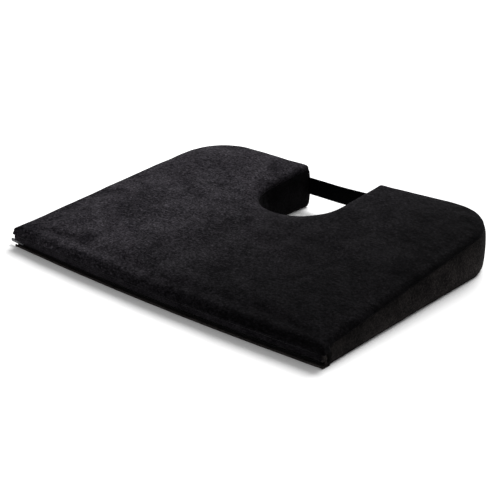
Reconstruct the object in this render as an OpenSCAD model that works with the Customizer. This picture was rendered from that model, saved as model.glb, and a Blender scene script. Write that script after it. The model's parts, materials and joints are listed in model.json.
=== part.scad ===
// Wedge seat cushion with a cut-out for the tailbone, a zipped cover and a
// webbing strap across the back of the cut-out.
// Millimetres, +Z up, +X to the sitter's side, +Y to the back of the seat.
// The origin is the centre of the underside, which lies on the seat.

/* [Cushion] */
// Width across the front edge
cushion_w = 457; // [400:1:548]
// Depth from the middle of the front edge to the back of the lobes
cushion_d = 344; // [287:1:420]
// Height of the front edge
front_h = 25; // [23:0.5:34]
// Height at the back of the lobes
rear_h = 58; // [46:0.5:90]
// How far the front edge bows out at its middle
front_bow = 7; // [4:0.5:12]
// How much each side comes in from front to back
side_taper = 5; // [0:0.5:12]
// Radius of the two back corners
corner_r = 65; // [40:1:80]
// How far a lobe's inner end lies in front of its backmost line
lobe_drop = 5; // [1:0.5:10]

/* [Cut-out] */
// Width of the cut-out
cut_w = 108; // [80:1:132]
// Depth of the cut-out from the back of the lobes
cut_d = 136; // [100:1:170]

/* [Cover] */
// Thickness of the cover's fabric
cloth_t = 1.2; // [0.8:0.1:1.6]
// Thickness of a folded edge of the fabric
fold_t = 2.4; // [1.6:0.1:3.2]
// Height of the folded lip below the zip
lip_h = 3; // [2.6:0.1:4]
// Height of the flap that hangs over the zip
flap_h = 6.8; // [5:0.1:8]
// Thickness of the sewing thread
thread_t = 0.5; // [0.3:0.05:0.6]

/* [Zip] */
// Distance from the cushion's corner to the end of the zip
zip_inset = 4.5; // [3:0.5:12]
// Width of the closed coil
coil_w = 4; // [3:0.1:5]
// Thickness of the coil
coil_t = 1.8; // [1.4:0.1:2.2]
// Thickness of the zip's tapes
tape_t = 0.5; // [0.3:0.05:0.7]
// Width of the lower tape that lies inside along the underside
tape_run = 10; // [6:0.5:14]
// Length of a zip stop
stop_l = 2; // [1.5:0.1:3]
// Length of the slider
slider_l = 9; // [7:0.1:11]
// Thickness of the slider's plates and side walls
slider_wall = 0.85; // [0.6:0.05:1]
// Length of the pull from its pin to its tip
pull_l = 22; // [14:0.5:30]
// Width of the pull
pull_w = 4; // [3:0.1:5]
// Thickness of the pull
pull_t = 1; // [0.8:0.1:1.2]
// Thickness of the slider's divider, which passes between the two halves of the coil
divider_t = 0.4; // [0.3:0.05:0.5]
// Clearance round each moving piece
play = 0.4; // [0.3:0.05:0.5]

/* [Strap] */
// Width of the webbing
strap_w = 22; // [16:0.5:26]
// Thickness of the webbing
strap_t = 1.6; // [1:0.1:2.4]
// Height of the webbing's lower edge above the floor
strap_z = 19.5; // [8:0.5:20]
// Distance from the cut-out's back corners to the webbing
strap_in = 3; // [2:0.5:12]
// Length of webbing sewn in behind each wall of the cut-out
strap_tail = 12; // [8:0.5:20]

/* [Hidden] */

// Angle between neighbouring points of a rounded corner
arc_step = 6;
// Steps along each half of the bowed front edge
front_steps = 24;
// Length by which trimming solids run past the cushion
beyond = 60;
// Circle count of the zip's long arcs
zip_fn = 2880;
// Gap between pieces that lie against each other along the bow
skin_gap = 0.05;
// Gap between the slider's front plate and the flap's back
plate_gap = 1.65;
// Gap between the slider's back plate and the foam
foam_gap = 0.7;
// Gap between the slider's divider and each half of the coil
divider_gap = 0.3;

half_w = cushion_w / 2;
front_y = -cushion_d / 2;
back_y = cushion_d / 2;
cut_r = cut_w / 2;
cut_y = back_y - cut_d + cut_r;
horn_y = back_y - lobe_drop;

// The seat's slope
slope = (rear_h - front_h) / cushion_d;

// The front edge is an arc through its middle and both front corners.
bow_r = (pow(half_w, 2) + pow(front_bow, 2)) / (2 * front_bow);
bow_y = front_y + bow_r;
corner_front_y = front_y + front_bow;

// Each back corner's arc meets the side, and a line from the lobe's inner end.
taper_angle = atan(side_taper / cushion_d);
corner_y = back_y - corner_r;
corner_x = side_x(corner_y, 0) - corner_r / cos(taper_angle);
horn_gap = [corner_x - cut_r, corner_y - horn_y];
lobe_angle = asin(corner_r / norm(horn_gap)) + atan2(horn_gap[1], horn_gap[0]);

// The slider's section, measured from the middle of the coil
coil_room = (coil_t + play) / 2;
plate_depth = coil_room + slider_wall;
arch_inner = plate_depth + pull_t + play;
arch_outer = arch_inner + slider_wall;
slider_room = coil_w + play;
slider_w = slider_room + 2 * slider_wall;

// Depths behind the flap's face, towards the foam
zip_depth = fold_t + plate_gap + plate_depth;
pin_depth = zip_depth - plate_depth - (pull_t + play) / 2;
mouth_depth = pin_depth + pull_t / 2 + play;
foam_depth = zip_depth + plate_depth + foam_gap;

// Heights at the front: the pull swings between the lip and the flap.
tape_top_z = cloth_t + tape_t;
zip_z = max(lip_h + play + pull_w / 2, tape_top_z + play + slider_w / 2);
flap_z = zip_z + pull_w / 2 + play;
stitch_z = flap_z + flap_h;
foam_step_z = stitch_z + 2;

// Places along the front edge, as angles about the bow's centre
zip_r = bow_r - zip_depth;
zip_half = half_w - zip_inset;
coil_angle = asin((zip_half - stop_l) / zip_r);
slider_angle = asin((zip_half - stop_l - play - slider_l / 2) / zip_r);
coil_split = divider_t / 2 + divider_gap;

// The strap lies just in front of the cut-out's back corners.
strap_y = horn_y - strap_in - strap_t;
strap_half = cut_r + cloth_t + strap_tail;
tack_t = 0.6;

// ---- plan outlines ----------------------------------------------------

function arc(x, y, r, from, to) =
    let (steps = max(1, round(abs(to - from) / arc_step)))
    [for (i = [0 : steps]) let (a = from + (to - from) * i / steps) [x + r * cos(a), y + r * sin(a)]];

function reversed(points) = [for (i = [len(points) - 1 : -1 : 0]) points[i]];

function mirrored(points) = [for (p = reversed(points)) [-p[0], p[1]]];

// Half width of the straight side at a place y, drawn in by inset
function side_x(y, inset) = half_w - inset / cos(taper_angle) - (y - front_y) * tan(taper_angle);

// The front edge from its middle to the right corner, at a depth behind its face
function front_half(depth, inset) =
    let (
        r = bow_r - depth,
        last = asin((half_w - inset) / r),
        fit = side_x(bow_y - r * cos(last), inset) / (half_w - inset)
    )
    [for (i = [0 : front_steps]) let (a = last * i / front_steps) [fit * r * sin(a), bow_y - r * cos(a)]];

// The whole front edge from its left corner to its right one
function front_row(depth) = concat(mirrored(front_half(depth, 0)), front_half(depth, 0));

// The rest of the outline's right half, round to the front of the cut-out
function back_half(inset) = concat(
    arc(corner_x, corner_y, corner_r - inset, taper_angle, 90 + lobe_angle),
    [[cut_r + inset, horn_y + inset * tan(lobe_angle) - inset / cos(lobe_angle)]],
    arc(0, cut_y, cut_r + inset, 0, -90)
);

// Whole plan of the cushion, drawn in by inset, with its front edge at a depth
module plan(inset = 0, depth = 0) {
    right = concat(front_half(max(inset, depth), inset), back_half(inset));
    polygon(concat(mirrored(right), right));
}

// ---- solids that the pieces are cut from ------------------------------

// Everything between the floor and the seat's slope, less a thickness of cover
module under_slope(drop = 0) {
    low = drop * sqrt(1 + pow(slope, 2));
    rotate([90, 0, 90])
        translate([0, 0, -cushion_w])
            linear_extrude(height = 2 * cushion_w)
                polygon([
                    [front_y - beyond, 0],
                    [back_y + beyond, 0],
                    [back_y + beyond, rear_h + beyond * slope - low],
                    [front_y - beyond, front_h - beyond * slope - low]
                ]);
}

// A slab of the cushion's plan between two heights
module slab(inset, z0, z1) {
    translate([0, 0, z0])
        linear_extrude(height = z1 - z0)
            plan(inset);
}

// Strip along the front edge between two depths and two heights
module front_strip(depth0, depth1, z0, z1) {
    translate([0, 0, z0])
        linear_extrude(height = z1 - z0)
            polygon(concat(front_row(depth0), reversed(front_row(depth1))));
}

// Puts a piece at an angle along the front edge: +X runs along it, +Y is depth.
module on_front(angle) {
    translate([0, bow_y, 0])
        rotate([0, 0, angle])
            translate([0, -bow_r, 0])
                children();
}

// Sweeps a section along the zip: the section's X is depth and its Y is height.
module along_zip() {
    translate([0, bow_y, 0])
        rotate([0, 0, -90 - coil_angle])
            rotate_extrude(angle = 2 * coil_angle, $fn = zip_fn)
                translate([bow_r, 0])
                    mirror([1, 0])
                        children();
}

// ---- foam -------------------------------------------------------------

// Space in the foam for one sewn-in end of the strap and its bar-tack
module strap_pocket(side) {
    room = 0.3;
    pocket_l = strap_tail + 1;
    x0 = cut_r + cloth_t;
    translate([side > 0 ? x0 : -x0 - pocket_l, strap_y - tack_t - room, strap_z - room])
        cube([pocket_l, strap_t + 2 * (tack_t + room), strap_w + 2 * room]);
}

module foam_core() {
    color("gainsboro")
        difference() {
            intersection() {
                slab(cloth_t, cloth_t, rear_h);
                under_slope(cloth_t);
            }
            // The zip's layers press the foam in along the lower front edge.
            front_strip(-1, foam_depth, 0, foam_step_z);
            front_strip(foam_depth - 1, foam_depth + tape_run, 0, tape_top_z);
            strap_pocket(-1);
            strap_pocket(1);
        }
}

// ---- cover ------------------------------------------------------------

// Groove that the row of stitching draws into the front
module stitch_groove() {
    front_strip(-1, thread_t, stitch_z - thread_t / 2, stitch_z + thread_t / 2);
}

// The top panel rolls over the front edge and ends at the row of stitching.
module top_panel() {
    color("#26242a")
        difference() {
            union() {
                intersection() {
                    slab(0, 0, rear_h + 1);
                    difference() {
                        under_slope(0);
                        under_slope(cloth_t);
                    }
                }
                intersection() {
                    front_strip(0, cloth_t, stitch_z, rear_h);
                    under_slope(0);
                }
            }
            stitch_groove();
        }
}

// A folded strip hangs from the row of stitching and covers the zip.
module zip_flap() {
    color("#2b2930")
        difference() {
            front_strip(0, fold_t, flap_z, stitch_z);
            stitch_groove();
        }
}

module bottom_panel() {
    color("#1b1a1e") {
        slab(0, 0, cloth_t);
        front_strip(0, fold_t, 0, lip_h);
    }
}

// The cover's upright wall, one layer thick, all round the plan
module wall() {
    intersection() {
        difference() {
            slab(0, cloth_t, rear_h);
            slab(cloth_t, 0, rear_h + 1);
        }
        under_slope(cloth_t);
    }
}

// One side of the wall, stepped at the front to meet the flap and leave the zip's mouth open
module side_band(side) {
    x0 = cut_r + cloth_t;
    steps = [[0, mouth_depth], [flap_z, fold_t], [stitch_z, cloth_t]];
    intersection() {
        wall();
        for (step = steps)
            translate([side > 0 ? x0 : -x0 - cushion_w, corner_front_y + step[1], step[0]])
                cube([cushion_w, cushion_d, rear_h]);
    }
}

module left_side_band() {
    color("#1e1c20")
        side_band(-1);
}

module right_side_band() {
    color("#1e1c20")
        side_band(1);
}

module cutout_band() {
    color("#131216")
        difference() {
            intersection() {
                wall();
                translate([-cut_r - cloth_t, back_y - cut_d - 2 * cloth_t, 0])
                    cube([cut_w + 2 * cloth_t, cushion_d, rear_h]);
            }
            // Slits for the strap
            translate([-half_w, strap_y - skin_gap, strap_z - skin_gap])
                cube([cushion_w, strap_t + 2 * skin_gap, strap_w + 2 * skin_gap]);
        }
}

module flap_stitching() {
    low_z = stitch_z - thread_t / 2 + skin_gap;
    color("#3a383e")
        front_strip(skin_gap, thread_t, low_z, low_z + thread_t - 2 * skin_gap);
}

// ---- zip --------------------------------------------------------------

// The upper tape rises from the coil and leans out to the back of the flap.
module zip_tape_upper() {
    flap_back = fold_t + skin_gap;
    sewn_z = stitch_z - 2;
    foot_z = zip_z + coil_w / 2;
    bend_z = zip_z + slider_w / 2 + play;
    color("#141316")
        along_zip()
            polygon([
                [zip_depth + tape_t / 2, foot_z],
                [zip_depth + tape_t / 2, bend_z],
                [flap_back + tape_t, sewn_z],
                [flap_back + tape_t, stitch_z],
                [flap_back, stitch_z],
                [flap_back, sewn_z],
                [zip_depth - tape_t / 2, bend_z],
                [zip_depth - tape_t / 2, foot_z]
            ]);
}

// The lower tape drops from the coil and turns in along the underside.
module zip_tape_lower() {
    low_z = cloth_t + skin_gap;
    high_z = tape_top_z - skin_gap;
    foot_z = zip_z - coil_w / 2;
    inner = foam_depth + tape_run - 2 * skin_gap;
    color("#141316")
        along_zip()
            polygon([
                [zip_depth - tape_t / 2, foot_z],
                [zip_depth - tape_t / 2, low_z],
                [inner, low_z],
                [inner, high_z],
                [zip_depth + tape_t / 2, high_z],
                [zip_depth + tape_t / 2, foot_z]
            ]);
}

// The coil's two halves stand apart by the slider's divider.
module zip_coil(side) {
    height = coil_w / 2 - coil_split;
    low_z = side > 0 ? zip_z + coil_split : zip_z - coil_split - height;
    along_zip()
        translate([zip_depth - coil_t / 2, low_z])
            square([coil_t, height]);
}

module zip_coil_upper() {
    color("#0e0e10")
        zip_coil(1);
}

module zip_coil_lower() {
    color("#0e0e10")
        zip_coil(-1);
}

// A small block past the end of the coil, at the left (-1) or right (1) end
module zip_stop(end, low_z, height) {
    on_front(end * coil_angle)
        translate([end > 0 ? skin_gap : -skin_gap - stop_l, zip_depth - coil_t / 2, low_z])
            cube([stop_l, coil_t, height]);
}

module zip_top_stops() {
    height = coil_w / 2 - coil_split;
    color("silver") {
        zip_stop(-1, zip_z + coil_split, height);
        zip_stop(-1, zip_z - coil_split - height, height);
    }
}

module zip_bottom_stop() {
    color("silver")
        zip_stop(1, zip_z - coil_w / 2, coil_w);
}

// The slider is two plates with side walls that leave a slot for each tape. A divider at
// its leading end joins the plates, and an arch for the pull stands in front.
module zip_slider() {
    slot_t = tape_t + 2 * divider_gap;
    divider_l = 2.4;
    arch_l = 6.6;
    arch_w = 1.8;
    arch_leg = 1.1;
    color("silver")
        on_front(-slider_angle)
            translate([0, zip_depth, zip_z]) {
                difference() {
                    translate([-slider_l / 2, -plate_depth, -slider_w / 2])
                        cube([slider_l, 2 * plate_depth, slider_w]);
                    translate([-slider_l, -coil_room, -slider_room / 2])
                        cube([2 * slider_l, 2 * coil_room, slider_room]);
                    translate([-slider_l, -slot_t / 2, -slider_w])
                        cube([2 * slider_l, slot_t, 2 * slider_w]);
                }
                translate([-slider_l / 2, -plate_depth, -divider_t / 2])
                    cube([divider_l, 2 * plate_depth, divider_t]);
                difference() {
                    translate([-arch_l / 2, -arch_outer, -arch_w / 2])
                        cube([arch_l, arch_outer - plate_depth, arch_w]);
                    translate([-arch_l / 2 + arch_leg, -arch_inner, -arch_w])
                        cube([arch_l - 2 * arch_leg, arch_inner - plate_depth, 2 * arch_w]);
                }
            }
}

// The pull's two arms pass the slider's arch, with a pin between them under it.
module zip_pull() {
    eye_l = 4.3;
    arm_w = 0.7;
    end_r = pull_w / 2;
    color("silver")
        on_front(-slider_angle)
            translate([0, pin_depth, zip_z]) {
                difference() {
                    union() {
                        translate([end_r - pull_l, -pull_t / 2, -pull_w / 2])
                            cube([pull_l - end_r, pull_t, pull_w]);
                        translate([end_r - pull_l, -pull_t / 2, 0])
                            rotate([-90, 0, 0])
                                cylinder(r = end_r, h = pull_t, $fn = 48);
                    }
                    translate([-eye_l, -pull_t, arm_w - pull_w / 2])
                        cube([eye_l + 1, 2 * pull_t, pull_w - 2 * arm_w]);
                }
                translate([0, 0, -pull_w / 2])
                    cylinder(r = pull_t / 2, h = pull_w, $fn = 32);
            }
}

// ---- strap ------------------------------------------------------------

module rear_strap() {
    color("#0b0b0d")
        translate([-strap_half, strap_y, strap_z])
            cube([2 * strap_half, strap_t, strap_w]);
}

// A bar of thread stands on each face of the strap's sewn-in end.
module bartack(side) {
    tack_w = 1.6;
    edge = 2;
    x = side * (strap_half - strap_tail / 2);
    for (y = [strap_y - tack_t, strap_y + strap_t])
        translate([x - tack_w / 2, y, strap_z + edge])
            cube([tack_w, tack_t, strap_w - 2 * edge]);
}

module left_strap_bartack() {
    color("#2a282d")
        bartack(-1);
}

module right_strap_bartack() {
    color("#2a282d")
        bartack(1);
}

foam_core();
top_panel();
bottom_panel();
left_side_band();
right_side_band();
cutout_band();
zip_flap();
flap_stitching();
zip_tape_upper();
zip_tape_lower();
zip_coil_upper();
zip_coil_lower();
zip_top_stops();
zip_bottom_stop();
zip_slider();
zip_pull();
rear_strap();
left_strap_bartack();
right_strap_bartack();
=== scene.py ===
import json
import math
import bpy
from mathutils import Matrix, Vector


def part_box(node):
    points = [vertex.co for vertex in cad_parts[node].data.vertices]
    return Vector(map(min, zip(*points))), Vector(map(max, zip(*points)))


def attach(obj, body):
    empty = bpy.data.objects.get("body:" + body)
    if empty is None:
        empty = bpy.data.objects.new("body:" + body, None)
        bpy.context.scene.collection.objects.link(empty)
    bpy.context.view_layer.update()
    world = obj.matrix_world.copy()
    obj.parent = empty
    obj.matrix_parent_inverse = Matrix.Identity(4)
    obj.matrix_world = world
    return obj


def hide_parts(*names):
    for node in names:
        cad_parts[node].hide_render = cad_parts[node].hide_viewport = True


bl_info = {
    "name": "Wedge Seat Cushion",
    "version": (1, 0, 0),
    "blender": (4, 5, 0),
    "location": "View3D > Sidebar > Cushion",
    "description": "Makes a zipped wedge seat cushion with a cut-out, and a stage to show it on",
    "category": "Add Mesh",
}

import bmesh
import bpy
import numpy as np
from bpy.props import FloatProperty, FloatVectorProperty, IntProperty, PointerProperty
from mathutils import Vector, noise

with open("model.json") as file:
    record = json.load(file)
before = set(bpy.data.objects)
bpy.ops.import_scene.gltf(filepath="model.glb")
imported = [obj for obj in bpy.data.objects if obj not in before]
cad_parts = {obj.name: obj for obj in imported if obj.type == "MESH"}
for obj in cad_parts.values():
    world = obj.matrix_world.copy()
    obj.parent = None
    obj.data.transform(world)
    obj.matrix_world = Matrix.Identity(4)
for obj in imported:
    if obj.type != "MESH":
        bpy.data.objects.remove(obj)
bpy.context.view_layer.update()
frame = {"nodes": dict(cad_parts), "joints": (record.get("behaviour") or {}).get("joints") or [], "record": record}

BODY = "cushion"


# ---- the frame's sizes --------------------------------------------------


def node_box(name):
    """Lowest and highest corner of a CAD node, as plain tuples."""
    low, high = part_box(name)
    return tuple(low), tuple(high)


def joint(name):
    return next(j for j in frame["joints"] if j["name"] == name)


def seat_slope():
    """Rise of the seat per metre of depth, and its height at y = 0."""
    mount = next(m for m in frame["record"]["mounts"] if m["name"] == "seat_face")
    rise = -mount["axis"][1] / mount["axis"][2]
    return rise, mount["pos_m"][2] - rise * mount["pos_m"][1]


TOP_LOW, TOP_HIGH = node_box("top_panel")
CUT_LOW, CUT_HIGH = node_box("cutout_band")
STRAP_LOW, STRAP_HIGH = node_box("rear_strap")
STITCH_LOW, STITCH_HIGH = node_box("flap_stitching")
COIL_END, COIL_TOP = node_box("zip_coil_upper")[1][0::2]
COIL_FOOT = node_box("zip_coil_lower")[0][2]

RISE, SEAT_Z = seat_slope()
BAND_LOW = node_box("right_side_band")[0]
CLOTH = BAND_LOW[2]
HALF_W = TOP_HIGH[0]
FRONT_Y = TOP_LOW[1]
BACK_Y = TOP_HIGH[1]
FLAP_Z = node_box("zip_flap")[0][2]
LIP_TOP = node_box("bottom_panel")[1][2]
STITCH_Z = (STITCH_LOW[2] + STITCH_HIGH[2]) / 2
CUT_R = CUT_HIGH[0] - CLOTH
CUT_FRONT_Y = CUT_LOW[1] + CLOTH
ZIP_Z = joint("zip_travel")["pos_m"][2]
BOW_Y = joint("zip_travel")["pos_m"][1]
BOW_R = BOW_Y - FRONT_Y
CUT_REACH = 0.09


# ---- settings -----------------------------------------------------------


def length(name, text, value):
    return FloatProperty(name=name, description=text, default=value, unit="LENGTH", precision=5)


def colour(name, text, value):
    return FloatVectorProperty(
        name=name, description=text, default=value, subtype="COLOR", size=3, min=0, max=1
    )


class CushionSizes(bpy.types.PropertyGroup):
    """Sizes of the soft pieces that the CAD model doesn't hold"""

    corner_r: length("Back corners", "Radius of the two back corners", 0.065)
    taper: length("Side taper", "How much each side comes in from front to back", 0.005)
    lobe_drop: length("Lobe drop", "How far a lobe's inner end lies before its backmost line", 0.005)
    edge_r: length("Top edge", "Radius of the rounded top edge", 0.0085)
    heel_r: length("Bottom edge", "Radius of the rounded bottom edge", 0.003)
    swell: length("Swell", "How far the cover may swell out between its seams", 0.0035)
    side_room: length("Side room", "How far the cover's sides are drawn in before it swells", -0.0006)
    top_room: length("Top room", "How far the cover's top is drawn down before it swells", -0.0010)
    foam_room: length("Foam room", "How far the foam lies inside the cover's first shape", 0.0050)
    bulge: length("Bulge", "How far a side's tallest part stands out between its seams", 0.0016)
    corner_out: length("Corner", "How far the front corners' seams pull the cover out", 0.0022)
    voxel: length("Voxel", "Voxel size of the cushion's mesh before it swells", 0.004)
    seam_drop: length("Top seam", "Depth of the top seam below the seat's face", 0.0065)
    seam_z: length("Bottom seam", "Height of the bottom seam above the floor", 0.003)
    seam_in: length("Seam valley", "Depth of the valley that a seam draws into the fabric", 0.0011)
    recess: length("Zip room", "Depth of the room for the zip behind the flap's face", 0.0092)
    stitch: length("Stitch length", "Length of one stitch along the flap", 0.0026)
    valley: length("Valley width", "Width of the valley along the top seam", 0.0019)
    pucker: length("Pucker", "Height of the puckers across a seam", 0.00045)
    pucker_pitch: length("Pucker pitch", "Distance between two puckers", 0.0075)
    ripple: length("Ripple", "Height of the slow ripples over a panel", 0.0006)
    ripple_pitch: length("Ripple pitch", "Distance between two ripples", 0.055)
    dimple: length("Dimple", "Depth of the dimples in a panel", 0.00028)
    dimple_pitch: length("Dimple pitch", "Distance between two dimples", 0.022)
    ridge_r: length("Ridge", "Radius of the pinched seam at the front corners", 0.00105)
    ridge_foot: length("Ridge foot", "Height of the pinched seam's lower end", 0.0006)
    ridge_top: length("Ridge top", "Height of the pinched seam's upper end", 0.021)
    coil_pitch: length("Coil pitch", "Distance between two turns of the zip's coil", 0.0014)
    coil_depth: length("Coil depth", "Depth of the coil's middle behind the flap's face", 0.006)
    mouth: length("Slot depth", "Depth that the zip's slot is open to at both front corners", 0.00425)
    pressure: FloatProperty(
        name="Pressure", description="Pressure that fills the cover", default=4.0, min=0
    )
    frames: IntProperty(
        name="Frames", description="Frames that the cover swells for", default=20, min=2
    )


class CushionColours(bpy.types.PropertyGroup):
    """Colours of the fabrics, the foam and the metal"""

    pile: colour("Pile", "Cover where its pile lies away from the light", (0.0021, 0.0018, 0.0025))
    brushed: colour("Brushed pile", "Cover where its pile is brushed up", (0.0168, 0.0153, 0.0178))
    # Painted light: the side bands' colours are warmer and lighter than the cover's, for the floor's bounce light
    # on the sides.
    band_pile: colour("Band pile", "Side bands where their pile lies flat", (0.0038, 0.0034, 0.0034))
    band_brushed: colour("Brushed band", "Side bands where their pile is up", (0.0212, 0.0184, 0.0176))
    # Painted light: the bottom panel's colours are lighter than the cover fabric, for floor-bounce light on the
    # lip below the zip.
    under_pile: colour("Underside", "Bottom panel in its dark patches", (0.012, 0.0108, 0.0108))
    under_brushed: colour("Brushed underside", "Bottom panel's light patches", (0.04, 0.0355, 0.034))
    webbing: colour("Webbing", "Strap across the cut-out", (0.0004, 0.0004, 0.0007))
    thread: colour("Thread", "Sewing thread", (0.006, 0.0056, 0.0066))
    tape: colour("Zip tape", "Woven tapes of the zip", (0.004, 0.004, 0.0045))
    coil: colour("Zip coil", "Nylon coil of the zip", (0.005, 0.005, 0.0055))
    metal: colour("Zip metal", "Slider, pull and stops", (0.05, 0.05, 0.054))
    foam: colour("Foam", "Foam block inside the cover", (0.58, 0.55, 0.47))
    floor: colour("Floor", "Floor under the cushion", (0.93, 0.93, 0.93))


# ---- working with meshes ------------------------------------------------


def deselect():
    bpy.ops.object.select_all(action="DESELECT")


def activate(obj):
    deselect()
    obj.select_set(True)
    bpy.context.view_layer.objects.active = obj


def points_of(obj):
    points = np.empty(len(obj.data.vertices) * 3)
    obj.data.vertices.foreach_get("co", points)
    return points.reshape(-1, 3)


def normals_of(obj):
    normals = np.empty(len(obj.data.vertices) * 3)
    obj.data.vertices.foreach_get("normal", normals)
    return normals.reshape(-1, 3)


def set_points(obj, points):
    obj.data.vertices.foreach_set("co", np.ascontiguousarray(points).ravel())
    obj.data.update()


def add_modifier(obj, kind, **values):
    modifier = obj.modifiers.new(kind.lower(), kind)
    for name, value in values.items():
        setattr(modifier, name, value)
    return modifier


def apply_modifiers(obj):
    activate(obj)
    for modifier in list(obj.modifiers):
        bpy.ops.object.modifier_apply(modifier=modifier.name)


def subdivide_smooth(obj, levels=1):
    add_modifier(obj, "SUBSURF", levels=levels, render_levels=levels)
    apply_modifiers(obj)


def thicken(obj, thickness, offset=-1.0):
    activate(obj)
    bpy.ops.object.mode_set(mode="EDIT")
    bpy.ops.mesh.select_all(action="SELECT")
    bpy.ops.mesh.dissolve_degenerate(threshold=2e-4)
    bpy.ops.object.mode_set(mode="OBJECT")
    add_modifier(obj, "SOLIDIFY", thickness=thickness, offset=offset)
    apply_modifiers(obj)


def shade(obj, angle=None):
    activate(obj)
    if angle is None:
        bpy.ops.object.shade_smooth()
    else:
        bpy.ops.object.shade_smooth_by_angle(angle=math.radians(angle))


def grid(name, columns, rows, place):
    """A grid of columns x rows faces, each point put where place(u, v) says, with u and v from 0 to 1."""
    deselect()
    bpy.ops.mesh.primitive_grid_add(x_subdivisions=columns, y_subdivisions=rows, size=1)
    obj = bpy.context.active_object
    obj.name = obj.data.name = name
    flat = points_of(obj) + 0.5
    set_points(obj, np.array([place(u, v) for u, v, _ in flat]))
    return obj


def join(name, objects):
    deselect()
    for obj in objects:
        obj.select_set(True)
    bpy.context.view_layer.objects.active = objects[0]
    bpy.ops.object.join()
    obj = bpy.context.active_object
    obj.name = obj.data.name = name
    return obj


def outward(obj):
    activate(obj)
    bpy.ops.object.mode_set(mode="EDIT")
    bpy.ops.mesh.select_all(action="SELECT")
    bpy.ops.mesh.remove_doubles(threshold=1e-6)
    bpy.ops.mesh.normals_make_consistent(inside=False)
    bpy.ops.object.mode_set(mode="OBJECT")


def finish_piece(obj, material, nodes, body=BODY):
    """Gives a piece its material, ties it to its CAD body, and hides the CAD nodes it replaces."""
    obj.data.materials.clear()
    obj.data.materials.append(material)
    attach(obj, body)
    if nodes:
        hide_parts(*nodes)


def paint(node, material):
    mesh = frame["nodes"][node].data
    mesh.materials.clear()
    mesh.materials.append(material)


def soften(node, width, material, body):
    """A copy of a CAD node with its edges rounded over."""
    activate(frame["nodes"][node])
    bpy.ops.object.duplicate()
    obj = bpy.context.active_object
    obj.name = obj.data.name = node + "_finished"
    activate(obj)
    bpy.ops.object.mode_set(mode="EDIT")
    bpy.ops.mesh.select_all(action="SELECT")
    bpy.ops.mesh.remove_doubles(threshold=1e-6)
    bpy.ops.mesh.dissolve_limited(angle_limit=math.radians(1))
    bpy.ops.object.mode_set(mode="OBJECT")
    add_modifier(obj, "BEVEL", width=width, segments=3, limit_method="ANGLE", angle_limit=math.radians(35))
    apply_modifiers(obj)
    shade(obj, 40)
    finish_piece(obj, material, [node], body)
    return obj


# ---- the cushion's plan -------------------------------------------------


def side_x(sizes, y, inset):
    lean = sizes.taper / (BACK_Y - FRONT_Y)
    return HALF_W - inset * math.hypot(1, lean) - (y - FRONT_Y) * lean


def front_y(x, depth):
    """Place of the bowed front edge at x, at a depth behind the flap's face."""
    return BOW_Y - math.sqrt((BOW_R - depth) ** 2 - x * x)


def arc(x, y, r, start, end, count):
    angles = np.radians(np.linspace(start, end, count))
    return [(x + r * math.cos(a), y + r * math.sin(a)) for a in angles]


def right_outline(sizes, inset, depth):
    """Points of the plan's right half, from the middle of the front to the front of the cut-out."""
    lean = math.degrees(math.atan(sizes.taper / (BACK_Y - FRONT_Y)))
    corner_y = BACK_Y - sizes.corner_r
    corner_x = side_x(sizes, corner_y, 0) - sizes.corner_r / math.cos(math.radians(lean))
    horn_y = BACK_Y - sizes.lobe_drop
    gap = (corner_x - CUT_R, corner_y - horn_y)
    lobe = math.asin(sizes.corner_r / math.hypot(*gap)) + math.atan2(gap[1], gap[0])
    end_x = side_x(sizes, front_y(HALF_W, depth), inset)
    front = [(x, front_y(x, depth)) for x in np.linspace(0, end_x, 25)]
    corner = arc(corner_x, corner_y, sizes.corner_r - inset, lean, 90 + math.degrees(lobe), 17)
    horn = [(CUT_R + inset, horn_y + inset * (math.tan(lobe) - 1 / math.cos(lobe)))]
    cut = arc(0, CUT_FRONT_Y + CUT_R, CUT_R + inset, 0, -90, 13)
    return front + corner + horn + cut


def outline(sizes, inset, depth):
    right = right_outline(sizes, inset, depth)
    left = [(-x, y) for x, y in reversed(right[1:-1])]
    return right + left


def seat_z(y):
    return SEAT_Z + RISE * y


# ---- the cushion's form -------------------------------------------------


def block_form(name, sizes, inset, drop, lower):
    """A closed wedge drawn in by inset and drop, with rounded edges and the zip's room in its front."""
    rings = []

    def ring(more, depth, height):
        rings.append([(x, y, height(y)) for x, y in outline(sizes, inset + more, depth)])

    r = sizes.edge_r
    heel = sizes.heel_r
    front = inset
    ledge = STITCH_Z - 0.0002
    ledge_in, ledge_up, least_roll = 0.0015, 0.0012, 0.002
    for turn in (0, 30, 60, 90):
        s, c = math.sin(math.radians(turn)), math.cos(math.radians(turn))
        more = heel * (1 - s)
        ring(more, sizes.recess + inset + more, lambda y, c=c: lower + heel * (1 - c))
    ring(0, sizes.recess + inset, lambda y: ledge)
    ring(0, front + ledge_in, lambda y: ledge)
    ring(0, front, lambda y: ledge + ledge_up)
    for turn in (0, 22.5, 45, 67.5, 90):
        s, c = math.sin(math.radians(turn)), math.cos(math.radians(turn))
        ring(
            r * (1 - c),
            front + r * (1 - c),
            lambda y, s=s: max(seat_z(y) - drop - r * (1 - s), ledge + least_roll),
        )
    return loft(name, rings)


def loft(name, rings):
    """A closed mesh through rings of the same count, with a face over each end."""
    count = len(rings[0])
    points = [p for ring in rings for p in ring]
    faces = []
    for k in range(len(rings) - 1):
        a, b = k * count, (k + 1) * count
        for i in range(count):
            j = (i + 1) % count
            faces.append((a + i, a + j, b + j, b + i))
    faces.append(tuple(reversed(range(count))))
    faces.append(tuple(range((len(rings) - 1) * count, len(rings) * count)))
    mesh = bpy.data.meshes.new(name)
    mesh.from_pydata(points, [], faces)
    obj = bpy.data.objects.new(name, mesh)
    bpy.context.scene.collection.objects.link(obj)
    return obj


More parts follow.
